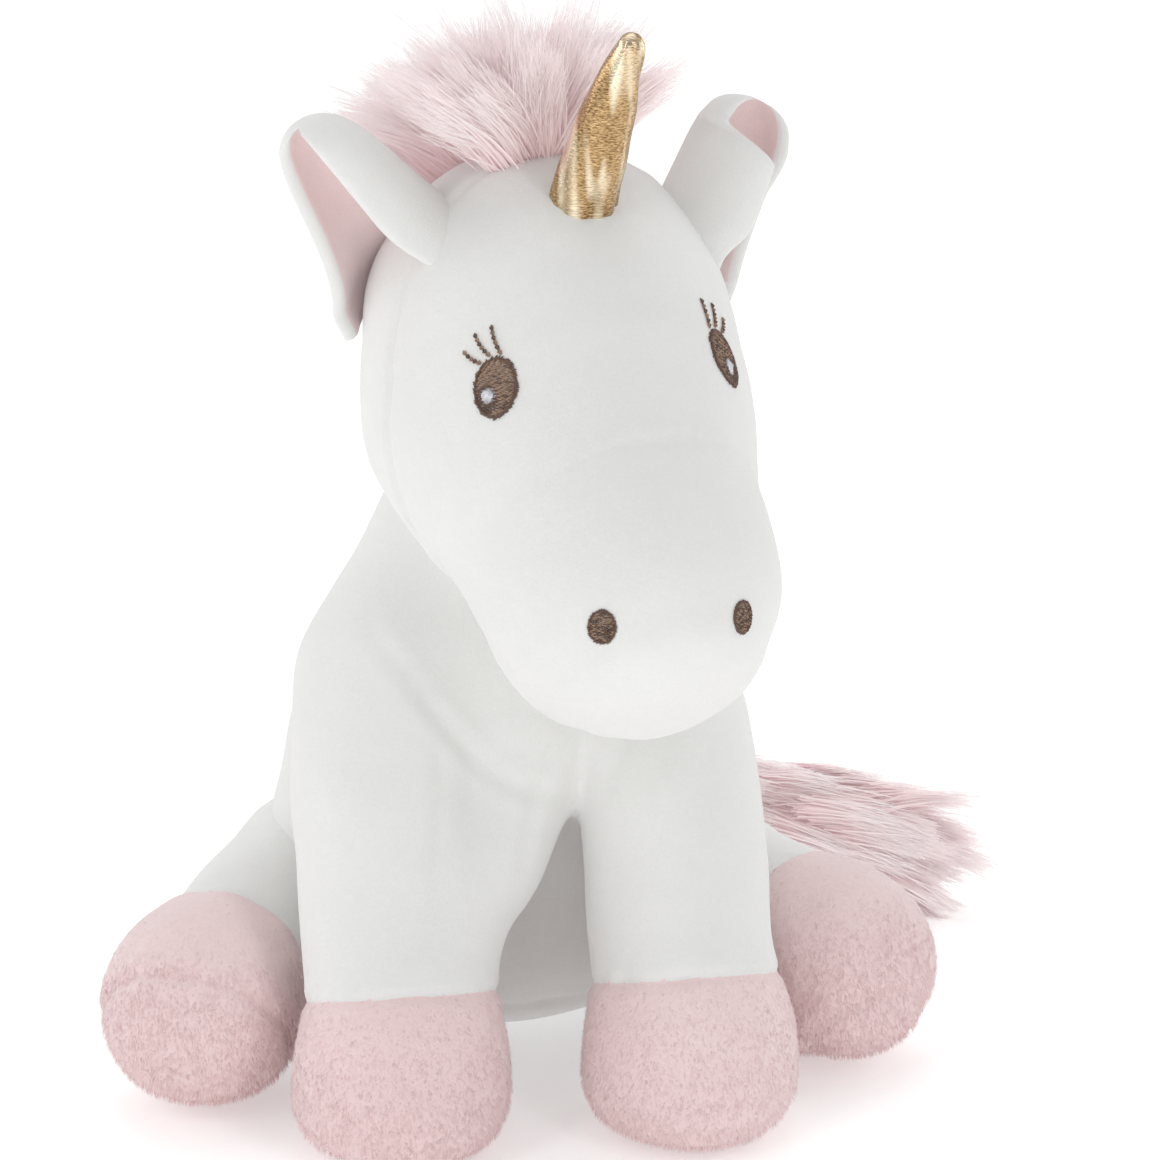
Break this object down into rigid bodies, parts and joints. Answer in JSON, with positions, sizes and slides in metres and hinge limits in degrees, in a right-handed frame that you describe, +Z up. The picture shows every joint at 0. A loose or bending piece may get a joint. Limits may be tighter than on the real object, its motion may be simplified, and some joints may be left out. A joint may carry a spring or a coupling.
{
  "type": "plush unicorn",
  "caption": "Soft unicorn toy that sits up, with a swivelling head, folding ears, a padded horn, four swinging legs and a fur tail.",
  "frame": {"origin": "middle of the flat seat base, on the surface the toy sits on", "axes": "+Z up, the animal faces -Y, its left side is +X"},
  "size_m": [0.2687, 0.2413, 0.304],
  "materials": {
    "white_velboa": "matte",
    "pink_plush": "matte",
    "pink_fur": "matte",
    "pink_backing": "matte",
    "ear_lining": "matte",
    "gold_lame": "satin",
    "brown_thread": "satin",
    "white_thread": "satin",
    "fibrefill": "matte",
    "pellets": "satin"
  },
  "bodies": {
    "torso": {"seat_panel": "white_velboa", "belly_gusset": "white_velboa", "side_panel_left": "white_velboa", "side_panel_right": "white_velboa", "pellet_bag": "pellets", "body_stuffing": "fibrefill"},
    "neck": {"neck_cover": "white_velboa", "neck_stuffing": "fibrefill"},
    "head": {"head_back_left": "white_velboa", "head_back_right": "white_velboa", "face_panel": "white_velboa", "muzzle_panel": "white_velboa", "jaw_gusset": "white_velboa", "head_stuffing": "fibrefill", "horn_cover": "gold_lame", "horn_stuffing": "fibrefill", "mane_backing": "pink_backing", "mane_pile": "pink_fur", "iris_left": "brown_thread", "eye_highlight_left": "white_thread", "eyelash_1_left": "brown_thread", "eyelash_2_left": "brown_thread", "eyelash_3_left": "brown_thread", "nostril_left": "brown_thread", "iris_right": "brown_thread", "eye_highlight_right": "white_thread", "eyelash_1_right": "brown_thread", "eyelash_2_right": "brown_thread", "eyelash_3_right": "brown_thread", "nostril_right": "brown_thread"},
    "ear_left": {"ear_left_outer": "white_velboa", "ear_left_lining": "ear_lining"},
    "ear_right": {"ear_right_outer": "white_velboa", "ear_right_lining": "ear_lining"},
    "foreleg_left": {"foreleg_left_sleeve": "white_velboa", "foreleg_left_hoof": "pink_plush", "foreleg_left_sole": "pink_plush", "foreleg_left_stuffing": "fibrefill"},
    "foreleg_right": {"foreleg_right_sleeve": "white_velboa", "foreleg_right_hoof": "pink_plush", "foreleg_right_sole": "pink_plush", "foreleg_right_stuffing": "fibrefill"},
    "hind_leg_left": {"hind_leg_left_sleeve": "white_velboa", "hind_leg_left_hoof": "pink_plush", "hind_leg_left_sole": "pink_plush", "hind_leg_left_stuffing": "fibrefill"},
    "hind_leg_right": {"hind_leg_right_sleeve": "white_velboa", "hind_leg_right_hoof": "pink_plush", "hind_leg_right_sole": "pink_plush", "hind_leg_right_stuffing": "fibrefill"},
    "tail": {"tail_backing": "pink_backing", "tail_pile": "pink_fur"}
  },
  "joints": [
    {"name": "neck_nod", "type": "hinge", "parent": "torso", "child": "neck", "pos_m": [0.003, -0.048, 0.14], "axis": [1, 0, 0], "range_deg": [-20, 4], "stiffness_Nm_per_rad": 1.2},
    {"name": "head_turn", "type": "hinge", "parent": "neck", "child": "head", "pos_m": [0.003, -0.048, 0.14], "axis": [0, 0, 1], "range_deg": [-45, 15], "stiffness_Nm_per_rad": 0.4},
    {"name": "ear_left_fold", "type": "hinge", "parent": "head", "child": "ear_left", "pos_m": [0.04984, -0.0485, 0.23], "axis": [0.0781, 0.9478, -0.3092], "range_deg": [-15, 30], "stiffness_Nm_per_rad": 0.02},
    {"name": "ear_right_fold", "type": "hinge", "parent": "head", "child": "ear_right", "pos_m": [-0.03335, -0.05912, 0.243], "axis": [0.6315, -0.7423, 0.2243], "range_deg": [-15, 30], "stiffness_Nm_per_rad": 0.02},
    {"name": "foreleg_left_swing", "type": "hinge", "parent": "torso", "child": "foreleg_left", "pos_m": [0.039, -0.076, 0.097], "axis": [-1, 0, 0], "range_deg": [0, 22], "stiffness_Nm_per_rad": 0.3},
    {"name": "foreleg_right_swing", "type": "hinge", "parent": "torso", "child": "foreleg_right", "pos_m": [-0.039, -0.076, 0.097], "axis": [-1, 0, 0], "range_deg": [0, 22], "stiffness_Nm_per_rad": 0.3},
    {"name": "hind_leg_left_lift", "type": "hinge", "parent": "torso", "child": "hind_leg_left", "pos_m": [0.048, 0.002, 0.036], "axis": [-1, 0, 0], "range_deg": [0, 35], "stiffness_Nm_per_rad": 0.3},
    {"name": "hind_leg_right_lift", "type": "hinge", "parent": "torso", "child": "hind_leg_right", "pos_m": [-0.048, 0.002, 0.036], "axis": [-1, 0, 0], "range_deg": [0, 35], "stiffness_Nm_per_rad": 0.3},
    {"name": "tail_swing", "type": "hinge", "parent": "torso", "child": "tail", "pos_m": [0, 0.06, 0.036], "axis": [0, 0, 1], "range_deg": [0, 105], "stiffness_Nm_per_rad": 0.03}
  ]
}
